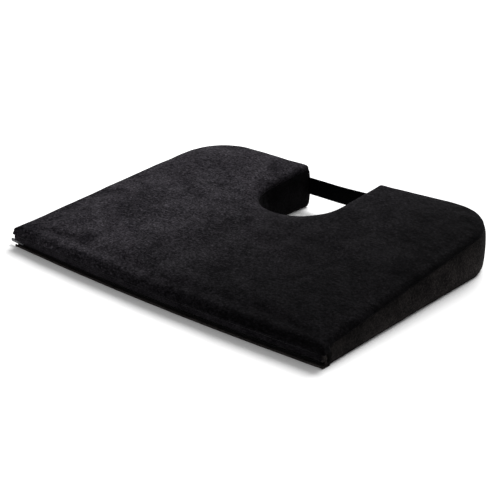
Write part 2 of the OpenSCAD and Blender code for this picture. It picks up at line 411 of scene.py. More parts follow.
def seam_heights(sizes, points):
    """Signed distances of points above the top seam and above the bottom seam."""
    x, y, z = points.T
    depth = BOW_R - np.hypot(x, BOW_Y - y)
    front = (depth < 0.006) & (np.abs(x) < side_x(sizes, y, 0) - 0.004)
    top = np.where(front, z - STITCH_Z, z - (SEAT_Z + RISE * y - sizes.seam_drop))
    return top, z - sizes.seam_z


def swell_cover(obj, sizes):
    """Fills the cover with a short cloth simulation, held along its seams."""
    rest = points_of(obj).copy()
    top, bottom = seam_heights(sizes, rest)
    near = np.minimum(abs(top), abs(bottom))
    group = obj.vertex_groups.new(name="seams")
    for i in np.nonzero(near < sizes.voxel * 0.6)[0]:
        group.add([int(i)], 1.0, "REPLACE")
    cloth = obj.modifiers.new("cloth", "CLOTH")
    cloth.settings.quality = 4
    cloth.settings.mass = 0.3
    cloth.settings.tension_stiffness = 18
    cloth.settings.compression_stiffness = 8
    cloth.settings.shear_stiffness = 6
    cloth.settings.bending_stiffness = 0.6
    cloth.settings.use_pressure = True
    cloth.settings.uniform_pressure_force = sizes.pressure
    cloth.settings.effector_weights.gravity = 0
    cloth.settings.vertex_group_mass = "seams"
    cloth.collision_settings.use_self_collision = False
    scene = bpy.context.scene
    cloth.point_cache.frame_start = 1
    cloth.point_cache.frame_end = sizes.frames
    for step in range(1, sizes.frames + 1):
        scene.frame_set(step)
    graph = bpy.context.evaluated_depsgraph_get()
    swollen = points_of(obj.evaluated_get(graph)).copy()
    obj.modifiers.remove(cloth)
    scene.frame_set(1)
    normals = normals_of(obj)
    outwards = ((swollen - rest) * normals).sum(axis=1, keepdims=True)
    move = normals * np.maximum(outwards, -0.0006)
    far = np.linalg.norm(move, axis=1, keepdims=True)
    limit = sizes.swell * np.tanh(far / sizes.swell) / np.maximum(far, 1e-9)
    set_points(obj, rest + move * limit)
    obj.vertex_groups.clear()


def noise_at(points, scale, seed):
    """Smooth noise from -1 to 1 at each point, for a scale in metres."""
    shift = Vector((seed * 7.31, seed * 3.17, seed * 5.93))
    return np.array([noise.noise(Vector(p) / scale + shift) for p in points])


def bisect(obj, point, normal, region):
    """Cuts the faces whose centres lie in region along a plane."""
    activate(obj)
    bpy.ops.object.mode_set(mode="EDIT")
    mesh = bmesh.from_edit_mesh(obj.data)
    for face in mesh.faces:
        face.select_set(region(face.calc_center_median()))
    bmesh.update_edit_mesh(obj.data)
    bpy.ops.mesh.bisect(plane_co=point, plane_no=normal, use_fill=False)
    bpy.ops.object.mode_set(mode="OBJECT")


# ---- the cover's panels -------------------------------------------------


def cut_along_seams(obj, sizes):
    """Cuts the swollen cover along its seams, so that each panel ends on a clean edge."""
    lean = Vector((0, -RISE, 1)).normalized()
    top_point = (0, 0, SEAT_Z - sizes.seam_drop)
    horn_x = CUT_R + sizes.side_room
    horn_y = BACK_Y - sizes.lobe_drop - sizes.side_room
    bisect(obj, top_point, lean, lambda p: True)
    bisect(obj, (0, 0, sizes.seam_z), (0, 0, 1), lambda p: True)
    bisect(obj, (0, 0, STITCH_Z), (0, 0, 1), lambda p: p.y < front_y(p.x, 2 * sizes.recess))
    for side in (-1, 1):
        near = lambda p: 0.03 < side * p.x < CUT_REACH and p.y > horn_y - 0.03
        bisect(obj, (side * horn_x, horn_y, 0), Vector((side, 1, 0)).normalized(), near)


def panel_of(sizes, place):
    """The name of the panel that a face belongs to, from its centre."""
    x, y, z = place
    top = z - (seat_z(y) - sizes.seam_drop)
    front = y < front_y(x, sizes.recess + 0.002)
    horn_x = CUT_R + sizes.side_room
    horn_y = BACK_Y - sizes.lobe_drop - sizes.side_room
    if z < sizes.seam_z:
        return "bottom"
    if top > 0 or (front and z > STITCH_Z):
        return "top"
    if front:
        return "bottom"
    if abs(x) < CUT_REACH and y > CUT_FRONT_Y - 0.02 and (abs(x) - horn_x) + (y - horn_y) < 0:
        return "cut"
    return "left" if x < 0 else "right"


def draw_in_seams(obj, sizes):
    """Draws a valley along each seam, with puckers across it, and gives the panels their soft ripples."""
    points = points_of(obj)
    normals = normals_of(obj)
    top, bottom = seam_heights(sizes, points)
    side = np.abs(normals[:, 2]) < 0.8
    flat = points * np.array([1, 1, 0])
    pucker = noise_at(flat, sizes.pucker_pitch, 1)
    ripple = noise_at(points, sizes.ripple_pitch, 2)
    dimple = noise_at(points, sizes.dimple_pitch, 3)
    steep = 1 - np.clip(np.abs(normals[:, 2]) - 0.5, 0, 0.5) * 2
    valley = np.exp(-((top / sizes.valley) ** 2)) * (0.8 + 0.35 * pucker)
    valley += 0.6 * np.exp(-((bottom / 0.0016) ** 2)) * (0.8 + 0.3 * pucker) * side
    reach = np.exp(-np.abs(top) / 0.009) * steep
    move = -sizes.seam_in * valley
    move += sizes.pucker * pucker * reach
    above_floor = 1 - np.exp(-np.maximum(points[:, 2], 0) / 0.01)
    move += (sizes.ripple * ripple + sizes.dimple * dimple) * above_floor
    share = np.clip(-bottom / (top - bottom), 0, 1)
    tall = np.clip((bottom - top) / 0.05, 0, 1)
    move += sizes.bulge * np.sin(math.pi * share) * tall * side
    points = points + normals * move[:, None]
    for side in (-1, 1):
        corner = np.array([side * HALF_W, BAND_LOW[1] - CLOTH])
        away = points[:, :2] - corner
        near = np.exp(-(away**2).sum(axis=1) / 0.009**2)
        points[:, 0] += side * sizes.corner_out * near
        points[:, 1] -= 0.6 * sizes.corner_out * near
    points[:, 2] = np.maximum(points[:, 2], 0)
    set_points(obj, points)
    # Painted shade: darkens the colour of turned edges, the top seam, the heel and the zip's room.
    paint_edge_shade(obj, sizes, normals, top, bottom)


def paint_edge_shade(obj, sizes, normals, top, bottom):
    """Writes a point attribute of painted shade: how much darker the cover's colour is painted on turned edges, by
    the top seam, on the heel and in the zip's room.
    """
    x, y, z = points_of(obj).T
    turned = np.clip((0.985 - np.abs(normals[:, 2])) / 0.5, 0, 1)
    on_top = 1 / (1 + np.exp(-top / 0.0008))
    near_top_seam = np.clip(1 + top / 0.03, 0, 1)
    behind = y - BOW_Y + np.sqrt(BOW_R**2 - x**2)
    rolled = np.exp(-((behind / 0.03) ** 2))
    darker = (0.62 - 0.42 * rolled) * turned * on_top + 0.55 * near_top_seam * (1 - on_top)
    darker = np.where(bottom < 0, 0.75 * turned, darker)
    in_zip_room = (behind < sizes.recess + 0.002) & (z < STITCH_Z) & (bottom > 0)
    darker = np.where(in_zip_room, 0.9, darker)
    layer = obj.data.attributes.new("nap_shade", "FLOAT", "POINT")
    layer.data.foreach_set("value", darker)


def split_panels(obj, sizes):
    """One object for each panel, by name."""
    names = ["top", "bottom", "left", "right", "cut"]
    obj.data.materials.clear()
    for name in names:
        obj.data.materials.append(bpy.data.materials.new("panel_" + name))
    for face in obj.data.polygons:
        face.material_index = names.index(panel_of(sizes, face.center))
    activate(obj)
    bpy.ops.object.mode_set(mode="EDIT")
    bpy.ops.mesh.select_all(action="SELECT")
    bpy.ops.mesh.separate(type="MATERIAL")
    bpy.ops.object.mode_set(mode="OBJECT")
    panels = {}
    for part in list(bpy.context.selected_objects):
        index = part.data.polygons[0].material_index
        used = part.data.materials
        name = used[index].name if len(used) > 1 else used[0].name
        panels[name.replace("panel_", "")] = part
    for part in panels.values():
        part.data.materials.clear()
    for material in [m for m in bpy.data.materials if m.name.startswith("panel_")]:
        bpy.data.materials.remove(material)
    return panels


# ---- strips along the front ---------------------------------------------


def front_place(sizes, u, depth, z):
    """A point on the front edge: u from 0 at the left end to 1 at the right, at a depth and height."""
    half = side_x(sizes, front_y(HALF_W, 0), 0)
    x = (2 * u - 1) * half
    return x, front_y(x, depth), z


def front_strip(name, sizes, section, steps, wave, seed):
    """Sweeps a closed section, a list of (depth, height), along the front edge, with a soft wave."""
    rings = []
    for i in range(steps + 1):
        u = i / steps
        sway = wave * noise.noise(Vector((u * 14, seed, 0)))
        sway += 0.5 * wave * noise.noise(Vector((u * 47, seed, 9)))
        rings.append([front_place(sizes, u, depth + sway, z + 0.4 * sway) for depth, z in section])
    return loft(name, rings)


def folded_section(depth0, depth1, low, high, count=7):
    """Section of a strip that is folded over at its top: round there and square at its sewn edge."""
    middle = (depth0 + depth1) / 2
    r = (depth1 - depth0) / 2
    centre = high - r
    halfway = (low + centre) / 2
    turn = [math.pi * i / (count - 1) for i in range(count)]
    bend = [(middle - r * math.cos(a), centre + r * math.sin(a)) for a in turn]
    return [(depth0, low), (depth0, halfway), *bend, (depth1, halfway), (depth1, low)]


def lay_boxes(name, places, size, taper=0.7):
    """Copies a small rounded bar to each place, given as (centre, direction, up)."""
    deselect()
    bpy.ops.mesh.primitive_cylinder_add(vertices=8, radius=0.5, depth=1, end_fill_type="NGON")
    bar = bpy.context.active_object
    bpy.ops.object.mode_set(mode="EDIT")
    bpy.ops.mesh.select_all(action="SELECT")
    bpy.ops.mesh.subdivide(number_cuts=1)
    bpy.ops.object.mode_set(mode="OBJECT")
    shape = points_of(bar)
    ends = np.abs(shape[:, 2]) > 0.4
    shape[ends, :2] *= taper
    faces = [tuple(f.vertices) for f in bar.data.polygons]
    bpy.data.objects.remove(bar)
    all_points, all_faces = [], []
    for centre, along, up in places:
        along = Vector(along).normalized()
        across = along.cross(Vector(up)).normalized()
        lift = across.cross(along)
        base = len(all_points)
        for x, y, z in shape:
            all_points.append(
                Vector(centre) + across * x * size[1] + lift * y * size[2] + along * z * size[0]
            )
        all_faces += [tuple(base + i for i in f) for f in faces]
    mesh = bpy.data.meshes.new(name)
    mesh.from_pydata(all_points, [], all_faces)
    obj = bpy.data.objects.new(name, mesh)
    bpy.context.scene.collection.objects.link(obj)
    return obj


# ---- shader node groups -------------------------------------------------


def new_group(name, inputs, outputs):
    """A shader node group with named sockets; returns the tree and its input and output nodes."""
    tree = bpy.data.node_groups.new(name, "ShaderNodeTree")
    for socket, kind, value in inputs:
        made = tree.interface.new_socket(socket, in_out="INPUT", socket_type=kind)
        if value is not None:
            made.default_value = value
    for socket, kind in outputs:
        tree.interface.new_socket(socket, in_out="OUTPUT", socket_type=kind)
    return tree, tree.nodes.new("NodeGroupInput"), tree.nodes.new("NodeGroupOutput")


def math_node(tree, operation, a, b=None, c=None):
    node = tree.nodes.new("ShaderNodeMath")
    node.operation = operation
    for socket, value in zip(node.inputs, (a, b, c)):
        if value is None:
            continue
        if isinstance(value, (int, float)):
            socket.default_value = value
        else:
            tree.links.new(value, socket)
    return node.outputs[0]


def noise_node(tree, vector, scale, detail=3.0, rough=0.55, distortion=0.0):
    node = tree.nodes.new("ShaderNodeTexNoise")
    tree.links.new(vector, node.inputs["Vector"])
    if isinstance(scale, (int, float)):
        node.inputs["Scale"].default_value = scale
    else:
        tree.links.new(scale, node.inputs["Scale"])
    node.inputs["Detail"].default_value = detail
    node.inputs["Roughness"].default_value = rough
    node.inputs["Distortion"].default_value = distortion
    return node.outputs["Fac"]


def ramp(tree, value, low, high, start=0.0, end=1.0):
    """Takes a value's span from low to high to the span from start to end, and holds it there."""
    node = tree.nodes.new("ShaderNodeMapRange")
    node.inputs["From Min"].default_value = low
    node.inputs["From Max"].default_value = high
    node.inputs["To Min"].default_value = start
    node.inputs["To Max"].default_value = end
    tree.links.new(value, node.inputs["Value"])
    return node.outputs["Result"]


def mix_colour(tree, factor, a, b):
    node = tree.nodes.new("ShaderNodeMix")
    node.data_type = "RGBA"
    first_colour, second_colour, mixed = node.inputs[6], node.inputs[7], node.outputs[2]
    tree.links.new(factor, node.inputs["Factor"])
    tree.links.new(a, first_colour)
    tree.links.new(b, second_colour)
    return mixed


def stretched(tree, vector, scale, turn=(0, 0, 0)):
    node = tree.nodes.new("ShaderNodeMapping")
    node.inputs["Scale"].default_value = scale
    node.inputs["Rotation"].default_value = [math.radians(a) for a in turn]
    tree.links.new(vector, node.inputs["Vector"])
    return node.outputs["Vector"]


def brushed_pile_group():
    """Short pile that lies in patches: its colour, roughness and height. The colour also carries painted light,
    lighter towards -X and +Y, and painted shade from the Shade input.
    """
    tree, given, made = new_group(
        "brushed_pile",
        [
            ("Vector", "NodeSocketVector", None),
            ("Patch Scale", "NodeSocketFloat", 26.0),
            ("Fibre Scale", "NodeSocketFloat", 900.0),
            ("Shade", "NodeSocketFloat", 0.0),
            ("Fleck", "NodeSocketFloat", 0.55),
            ("Lean X", "NodeSocketFloat", 0.0),
            ("Lean Y", "NodeSocketFloat", 0.0),
            ("Pile", "NodeSocketColor", (0.01, 0.01, 0.01, 1)),
            ("Brushed", "NodeSocketColor", (0.03, 0.03, 0.03, 1)),
        ],
        [("Color", "NodeSocketColor"), ("Roughness", "NodeSocketFloat"), ("Height", "NodeSocketFloat")],
    )
    vector = given.outputs["Vector"]
    patch_scale = given.outputs["Patch Scale"]
    patches = noise_node(tree, vector, patch_scale, 4, 0.6, 0.8)
    streaks = noise_node(
        tree, stretched(tree, vector, (1.0, 2.6, 1.6), (0, 0, 28)),
        math_node(tree, "MULTIPLY", patch_scale, 4.6), 4, 0.65, 1.4,
    )
    mottle = noise_node(tree, vector, math_node(tree, "MULTIPLY", patch_scale, 14), 3, 0.6, 0.6)
    fibres = noise_node(tree, stretched(tree, vector, (1, 1.9, 1.4)), given.outputs["Fibre Scale"], 2, 0.5)
    blend = math_node(tree, "MULTIPLY", patches, 0.26)
    blend = math_node(tree, "MULTIPLY_ADD", streaks, 0.3, blend)
    blend = math_node(tree, "MULTIPLY_ADD", mottle, 0.34, blend)
    blend = math_node(tree, "MULTIPLY_ADD", fibres, 0.1, blend)
    lay = ramp(tree, blend, 0.43, 0.59)
    # Painted light: the colour grows lighter towards -X and +Y (the cover's left and back) to stand for a lit
    # side, clamped at both ends.
    place = tree.nodes.new("ShaderNodeSeparateXYZ")
    tree.links.new(vector, place.inputs[0])
    lean = math_node(tree, "MULTIPLY", place.outputs["X"], given.outputs["Lean X"])
    lean = math_node(tree, "MULTIPLY_ADD", place.outputs["Y"], given.outputs["Lean Y"], lean)
    painted_light_and_tone = tree.nodes.new("ShaderNodeVectorMath")
    painted_light_and_tone.operation = "SCALE"
    tree.links.new(mix_colour(tree, lay, given.outputs["Pile"], given.outputs["Brushed"]), painted_light_and_tone.inputs[0])
    lean = math_node(tree, "MAXIMUM", math_node(tree, "MINIMUM", lean, 0.62), -1.4)
    flecks = noise_node(
        tree, stretched(tree, vector, (1.0, 1.9, 1.2), (0, 0, -20)),
        math_node(tree, "MULTIPLY", patch_scale, 13), 2, 0.6, 0.5,
    )
    flecks = math_node(tree, "MULTIPLY", ramp(tree, flecks, 0.3, 0.7, -1, 1), given.outputs["Fleck"])
    # The colour is scaled by the painted light above, by random flecks of tone, and by painted shade (1 - Shade).
    level = math_node(tree, "EXPONENT", math_node(tree, "ADD", lean, flecks))
    level = math_node(tree, "MULTIPLY", level, math_node(tree, "SUBTRACT", 1.0, given.outputs["Shade"]))
    tree.links.new(level, painted_light_and_tone.inputs["Scale"])
    tree.links.new(painted_light_and_tone.outputs[0], made.inputs["Color"])
    tree.links.new(ramp(tree, lay, 0, 1, 0.98, 0.82), made.inputs["Roughness"])
    height = math_node(tree, "MULTIPLY", mottle, 0.45)
    height = math_node(tree, "MULTIPLY_ADD", streaks, 0.3, height)
    height = math_node(tree, "MULTIPLY_ADD", fibres, 0.45, height)
    tree.links.new(height, made.inputs["Height"])
    return tree


def weave_group():
    """Plain weave: threads that cross over and under, in colour, roughness and height; the lower threads carry
    painted shade in the colour.
    """
    tree, given, made = new_group(
        "plain_weave",
        [
            ("Vector", "NodeSocketVector", None),
            ("Threads", "NodeSocketFloat", 1200.0),
            ("Color", "NodeSocketColor", (0.01, 0.01, 0.01, 1)),
            ("Contrast", "NodeSocketFloat", 0.6),
        ],
        [("Color", "NodeSocketColor"), ("Roughness", "NodeSocketFloat"), ("Height", "NodeSocketFloat")],
    )
    parts = tree.nodes.new("ShaderNodeSeparateXYZ")
    tree.links.new(given.outputs["Vector"], parts.inputs[0])
    turn = math_node(tree, "MULTIPLY", given.outputs["Threads"], math.pi)
    across = math_node(tree, "SINE", math_node(tree, "MULTIPLY", parts.outputs["X"], turn))
    up = math_node(tree, "ADD", parts.outputs["Z"], parts.outputs["Y"])
    along = math_node(tree, "SINE", math_node(tree, "MULTIPLY", up, turn))
    over = math_node(tree, "MULTIPLY", across, along)
    height = math_node(tree, "MULTIPLY_ADD", over, 0.5, 0.5)
    fuzz = noise_node(tree, given.outputs["Vector"], 2400.0, 2, 0.6)
    height = math_node(tree, "MULTIPLY_ADD", fuzz, 0.35, height)
    shadow = math_node(tree, "MULTIPLY", given.outputs["Contrast"], -1.0)
    shade_by = math_node(tree, "MULTIPLY_ADD", math_node(tree, "SUBTRACT", 1.0, height), shadow, 1.3)
    dark = tree.nodes.new("ShaderNodeVectorMath")
    dark.operation = "SCALE"
    tree.links.new(given.outputs["Color"], dark.inputs[0])
    tree.links.new(shade_by, dark.inputs["Scale"])
    tree.links.new(dark.outputs[0], made.inputs["Color"])
    tree.links.new(ramp(tree, height, 0, 1.3, 0.9, 0.6), made.inputs["Roughness"])
    tree.links.new(height, made.inputs["Height"])
    return tree


def wear_group():
    """Fine grain and small scuffs on metal or plastic: a roughness and a height."""
    tree, given, made = new_group(
        "fine_wear",
        [
            ("Vector", "NodeSocketVector", None),
            ("Scale", "NodeSocketFloat", 1500.0),
            ("Smooth", "NodeSocketFloat", 0.25),
            ("Rough", "NodeSocketFloat", 0.5),
        ],
        [("Roughness", "NodeSocketFloat"), ("Height", "NodeSocketFloat")],
    )
    vector = given.outputs["Vector"]
    grain = noise_node(tree, vector, given.outputs["Scale"], 4, 0.6)
    scuffs = noise_node(tree, stretched(tree, vector, (1, 6, 1)), given.outputs["Scale"], 2, 0.7, 0.5)
    worn = ramp(tree, math_node(tree, "MAXIMUM", grain, scuffs), 0.45, 0.75)
    span = math_node(tree, "SUBTRACT", given.outputs["Rough"], given.outputs["Smooth"])
    tree.links.new(
        math_node(tree, "MULTIPLY_ADD", worn, span, given.outputs["Smooth"]), made.inputs["Roughness"]
    )
    tree.links.new(grain, made.inputs["Height"])
    return tree


# ---- materials ----------------------------------------------------------


def new_material(name, group, values, bump, distance, **shader):
    """A material whose colour, roughness and bump come from a node group on Object coordinates."""
    material = bpy.data.materials.new(name)
    material.use_nodes = True
    tree = material.node_tree
    surface = tree.nodes["Principled BSDF"]
    place = tree.nodes.new("ShaderNodeTexCoord")
    effect = tree.nodes.new("ShaderNodeGroup")
    effect.node_tree = group
    tree.links.new(place.outputs["Object"], effect.inputs["Vector"])
    for socket, value in values.items():
        effect.inputs[socket].default_value = (*value, 1) if hasattr(value, "__len__") else value
    relief = tree.nodes.new("ShaderNodeBump")
    relief.inputs["Strength"].default_value = bump
    relief.inputs["Distance"].default_value = distance
    tree.links.new(effect.outputs["Height"], relief.inputs["Height"])
    tree.links.new(relief.outputs["Normal"], surface.inputs["Normal"])
    tree.links.new(effect.outputs["Roughness"], surface.inputs["Roughness"])
    # Painted shade: the point attribute written on the cover's panels darkens the colour here.
    if "Shade" in effect.inputs:
        shade_by = tree.nodes.new("ShaderNodeAttribute")
        shade_by.attribute_name = "nap_shade"
        tree.links.new(shade_by.outputs["Fac"], effect.inputs["Shade"])
    if "Color" in effect.outputs:
        tree.links.new(effect.outputs["Color"], surface.inputs["Base Color"])
    for socket, value in shader.items():
        surface.inputs[socket.replace("_", " ")].default_value = value
    material.diffuse_color = (0.05, 0.05, 0.05, 1)
    return material


def make_materials(colours):
    pile = brushed_pile_group()
    weave = weave_group()
    wear = wear_group()
    nap = dict(Pile=colours.pile, Brushed=colours.brushed)
    sheen = dict(Sheen_Weight=0.007, Sheen_Roughness=0.4, Sheen_Tint=(0.86, 0.84, 0.95, 1))
    flat = dict(Specular_IOR_Level=0.02)
    materials = {
        # Painted light: the slopes along X and Y make the cover's colour lighter towards its left and back.
        "cover": new_material(
            "brushed_cover", pile,
            dict(nap, **{"Patch Scale": 26.0, "Lean X": -7.6, "Lean Y": 1.0, "Fleck": 0.9}),
            bump=0.55, distance=0.0006, **sheen, **flat,
        ),
        # Painted light: warmer, lighter copy of the cover fabric for the floor's bounce light on the side bands.
        "band": new_material(
            "brushed_band", pile,
            {"Pile": colours.band_pile, "Brushed": colours.band_brushed, "Patch Scale": 34.0, "Fleck": 0.8},
            bump=0.55, distance=0.0006, **sheen, **flat,
        ),
        # Painted shade: the cut-out's wall gets the cover's colours darkened to about a quarter, for the shade
        # inside the cut-out.
        "cut_band": new_material(
            "brushed_cut_band", pile,
            {"Pile": [c * 0.25 for c in colours.pile], "Brushed": [c * 0.27 for c in colours.brushed],
             "Patch Scale": 34.0},
            bump=0.55, distance=0.0006, **flat,
        ),
        # Painted light: the slope along X makes the flap's colour lighter towards its left.
        "flap": new_material(
            "brushed_flap", pile, dict(nap, **{"Patch Scale": 60.0, "Lean X": -2.2}),
            bump=0.5, distance=0.0004, **sheen, **flat,
        ),
        # Painted light: lightened copy of the black fabric, for floor-bounce light on the lip below the zip.
        "underside": new_material(
            "underside_cloth", pile,
            {"Pile": colours.under_pile, "Brushed": colours.under_brushed, "Patch Scale": 60.0},
            bump=0.5, distance=0.0004, **flat,
        ),
        "strap": new_material(
            "strap_webbing", weave, {"Threads": 850.0, "Color": colours.webbing, "Contrast": 0.9},
            bump=0.8, distance=0.0004, Specular_IOR_Level=0.02,
        ),
        "tape": new_material(
            "zip_tape_weave", weave, {"Threads": 1800.0, "Color": colours.tape, "Contrast": 0.6},
            bump=0.6, distance=0.0002, Specular_IOR_Level=0.15,
        ),
        "thread": new_material(
            "sewing_thread", weave, {"Threads": 3600.0, "Color": colours.thread, "Contrast": 0.5},
            bump=0.5, distance=0.0001, Specular_IOR_Level=0.3,
        ),
        "coil": new_material(
            "nylon_coil", wear, {"Scale": 1800.0, "Smooth": 0.3, "Rough": 0.5},
            bump=0.2, distance=0.00005, Base_Color=(*colours.coil, 1),
        ),
        "metal": new_material(
            "plated_metal", wear, {"Scale": 900.0, "Smooth": 0.2, "Rough": 0.42},
            bump=0.15, distance=0.00005, Base_Color=(*colours.metal, 1), Metallic=1.0,
        ),
        "foam": new_material(
            "open_cell_foam", pile,
            {"Pile": [c * 0.8 for c in colours.foam], "Brushed": colours.foam, "Patch Scale": 120.0},
            bump=0.9, distance=0.001, Specular_IOR_Level=0.2,
        ),
    }
    return materials


# ---- operators ----------------------------------------------------------

MATERIALS = {}


class CUSHION_OT_stage(bpy.types.Operator):
    """Adds the camera, the lights and the floor"""

    bl_idname = "cushion.stage"
    bl_label = "Stage"

    def execute(self, context):
        colours = context.scene.cushion_colours
        scene = context.scene
        scene.view_settings.view_transform = "Standard"
        scene.view_settings.look = "None"
        aim = Vector((-0.0152, 0.009, 0))
        azimuth, elevation, away = math.radians(41.47), math.radians(22.5), 1.3475
        back = Vector(
            (
                math.sin(azimuth) * math.cos(elevation),
                -math.cos(azimuth) * math.cos(elevation),
                math.sin(elevation),
            )
        )
        deselect()
        bpy.ops.object.camera_add(location=aim + back * away)
        camera = context.active_object
        camera.name = "camera"
        camera.rotation_euler = back.to_track_quat("Z", "Y").to_euler()
        camera.data.sensor_width = 36
        camera.data.lens = 83.45
        camera.data.clip_end = 20
        scene.camera = camera

        deselect()
        bpy.ops.mesh.primitive_plane_add(size=40, location=(0, 0, 0))
        floor = context.active_object
        floor.name = "floor"
        floor.data.materials.append(self.paper(colours.floor))

        key = self.light("key", "SUN", (-0.5, 3.4, 3.6), 3.7)
        key.angle = math.radians(40)
        rim = self.light("rim", "AREA", (-0.75, 0.6, 0.7), 4)
        rim.size = 0.6
        world = bpy.data.worlds.new("studio")
        scene.world = world
        world.use_nodes = True
        tree = world.node_tree
        backdrop = tree.nodes["Background"]
        backdrop.inputs["Color"].default_value = (1, 1, 1, 1)
        seen = tree.nodes.new("ShaderNodeLightPath").outputs["Is Camera Ray"]
        tree.links.new(math_node(tree, "MULTIPLY_ADD", seen, 0.52, 0.48), backdrop.inputs["Strength"])
        return {"FINISHED"}

    def paper(self, tint):
        material = bpy.data.materials.new("floor_paper")
        material.use_nodes = True
        surface = material.node_tree.nodes["Principled BSDF"]
        surface.inputs["Base Color"].default_value = (*tint, 1)
        surface.inputs["Roughness"].default_value = 0.9
        surface.inputs["Specular IOR Level"].default_value = 0.1
        return material

    def light(self, name, kind, place, power):
        deselect()
        bpy.ops.object.light_add(type=kind, location=place)
        lamp = bpy.context.active_object
        lamp.name = name
        lamp.data.energy = power
        lamp.rotation_euler = Vector(place).to_track_quat("Z", "Y").to_euler()
        return lamp.data


class CUSHION_OT_cover(bpy.types.Operator):
    """Makes the padded cover's panels and the foam inside them"""

    bl_idname = "cushion.cover"
    bl_label = "Cover and foam"

    def execute(self, context):
        sizes = context.scene.cushion_sizes
        form = block_form("cover", sizes, sizes.side_room, sizes.top_room, 0.0004)
        self.remesh(form, sizes.voxel)
        foam = self.foam(sizes)
        swell_cover(form, sizes)
        subdivide_smooth(form)
        cut_along_seams(form, sizes)
        draw_in_seams(form, sizes)
        panels = split_panels(form, sizes)
        lip = self.lip(sizes)
        for name, panel in panels.items():
            thicken(panel, CLOTH * 0.8)
            shade(panel)
        # The lip's light colour is painted light from the floor's bounce.
        finish_piece(lip, MATERIALS["underside"], ["bottom_panel"])
        rows = (
            ("top", "top_panel_cloth", "top_panel", "cover"),
            ("bottom", "bottom_panel_cloth", "bottom_panel", "underside"),
            ("left", "left_band_cloth", "left_side_band", "band"),
            ("right", "right_band_cloth", "right_side_band", "band"),
            ("cut", "cutout_band_cloth", "cutout_band", "cut_band"),
        )
        for key, name, node, material in rows:
            panel = panels[key]
            panel.name = panel.data.name = name
            finish_piece(panel, MATERIALS[material], [node])
        finish_piece(foam, MATERIALS["foam"], ["foam_core"])
        return {"FINISHED"}

    def remesh(self, obj, voxel):
        outward(obj)
        obj.data.remesh_voxel_size = voxel
        activate(obj)
        bpy.ops.object.voxel_remesh()

    def foam(self, sizes):
        """The foam is the same block, drawn in from the cover."""
        more = sizes.foam_room
        foam = block_form("foam_block", sizes, sizes.side_room + more, sizes.top_room + more, 2 * CLOTH)
        self.remesh(foam, sizes.voxel)
        shade(foam)
        return foam

    def lip(self, sizes):
        """The bottom panel's folded front edge, below the zip."""
        fold = folded_section(0.0009, 0.0024, 0.0009, LIP_TOP - 0.0006)
        inner = sizes.recess + 0.0025
        section = [(0.0014, 0.0), *fold, (0.0031, 0.0011), (inner, 0.0011), (inner, 0.0)]
        lip = front_strip("bottom_panel_lip", sizes, section, 440, wave=0.0002, seed=2)
        outward(lip)
        shade(lip, 50)
        return lip


class CUSHION_OT_corners(bpy.types.Operator):
    """Closes each side band at the front corner and gives it its upright seam"""

    bl_idname = "cushion.corners"
    bl_label = "Front corners"

    def execute(self, context):
        sizes = context.scene.cushion_sizes
        for side, name in ((-1, "left_band_cloth"), (1, "right_band_cloth")):
            parts = [bpy.data.objects[name], self.cheek(sizes, side)]
            spans = [(sizes.ridge_foot, LIP_TOP), (FLAP_Z, sizes.ridge_top)]
            parts += [self.ridge(sizes, side, low, high, seed) for seed, (low, high) in enumerate(spans)]
            band = join(name, parts)
            finish_piece(band, MATERIALS["band"], [])
        return {"FINISHED"}

    def cheek(self, sizes, side):
        """The band's lower front part, which closes the end of the zip's room."""
        y0, y1 = front_y(HALF_W, sizes.mouth), front_y(HALF_W, sizes.recess + 0.004)
        top = STITCH_Z + 0.003

        def place(u, v):
            z = 0.0008 + v * (top - 0.0008)
            beside_slot = LIP_TOP - 0.0006 < z < FLAP_Z + 0.0004
            start = y0 if beside_slot else front_y(HALF_W, 0.0028)
            y = start + u * (y1 - start)
            bulge = 0.0005 * math.sin(math.pi * u) * math.sin(math.pi * v)
            bulge += 0.0003 * noise.noise(Vector((u * 3, v * 3, side)))
            return side * (side_x(sizes, y, 0) - 0.0009 + bulge), y, z

        cheek = grid("cheek", 12, 16, place)
        outward(cheek)
        if side * sum(f.normal.x for f in cheek.data.polygons) < 0:
            activate(cheek)
            bpy.ops.object.mode_set(mode="EDIT")
            bpy.ops.mesh.select_all(action="SELECT")
            bpy.ops.mesh.flip_normals()
            bpy.ops.object.mode_set(mode="OBJECT")
        thicken(cheek, CLOTH * 0.8)
        shade(cheek)
        return cheek

    def ridge(self, sizes, side, low, high, seed):
        """An upright pinched seam: a soft ridge that closes at both its ends."""
        deselect()
        bpy.ops.mesh.primitive_cylinder_add(vertices=16, radius=1, depth=1, end_fill_type="TRIFAN")
        ridge = bpy.context.active_object
        activate(ridge)
        bpy.ops.object.mode_set(mode="EDIT")
        bpy.ops.mesh.select_all(action="DESELECT")
        mesh = bmesh.from_edit_mesh(ridge.data)
        for edge in mesh.edges:
            a, b = edge.verts
            edge.select_set(abs(a.co.z - b.co.z) > 0.5)
        bmesh.update_edit_mesh(ridge.data)
        bpy.ops.mesh.subdivide(number_cuts=28)
        bpy.ops.object.mode_set(mode="OBJECT")
        corner_y = front_y(HALF_W, 0)
        points = []
        for x, y, z in points_of(ridge):
            t = z + 0.5
            height = low + t * (high - low)
            pinch = 1 + 0.16 * noise.noise(Vector((height * 420, side * 3, seed)))
            close = 1 - 0.75 * max(0.0, (t - 0.82) / 0.18) ** 2
            r = sizes.ridge_r * pinch * close
            lean = max(0.0, height - 0.014)
            back = 0.4 * lean + 2.5e1 * lean * lean
            points.append(
                (
                    side * (HALF_W - 0.0008 + r * x * 0.9 - 0.5 * back),
                    corner_y + 0.0011 + r * y * 1.15 + 0.6 * back,
                    height,
                )
            )
        set_points(ridge, np.array(points))
        outward(ridge)
        shade(ridge, 60)
        return ridge


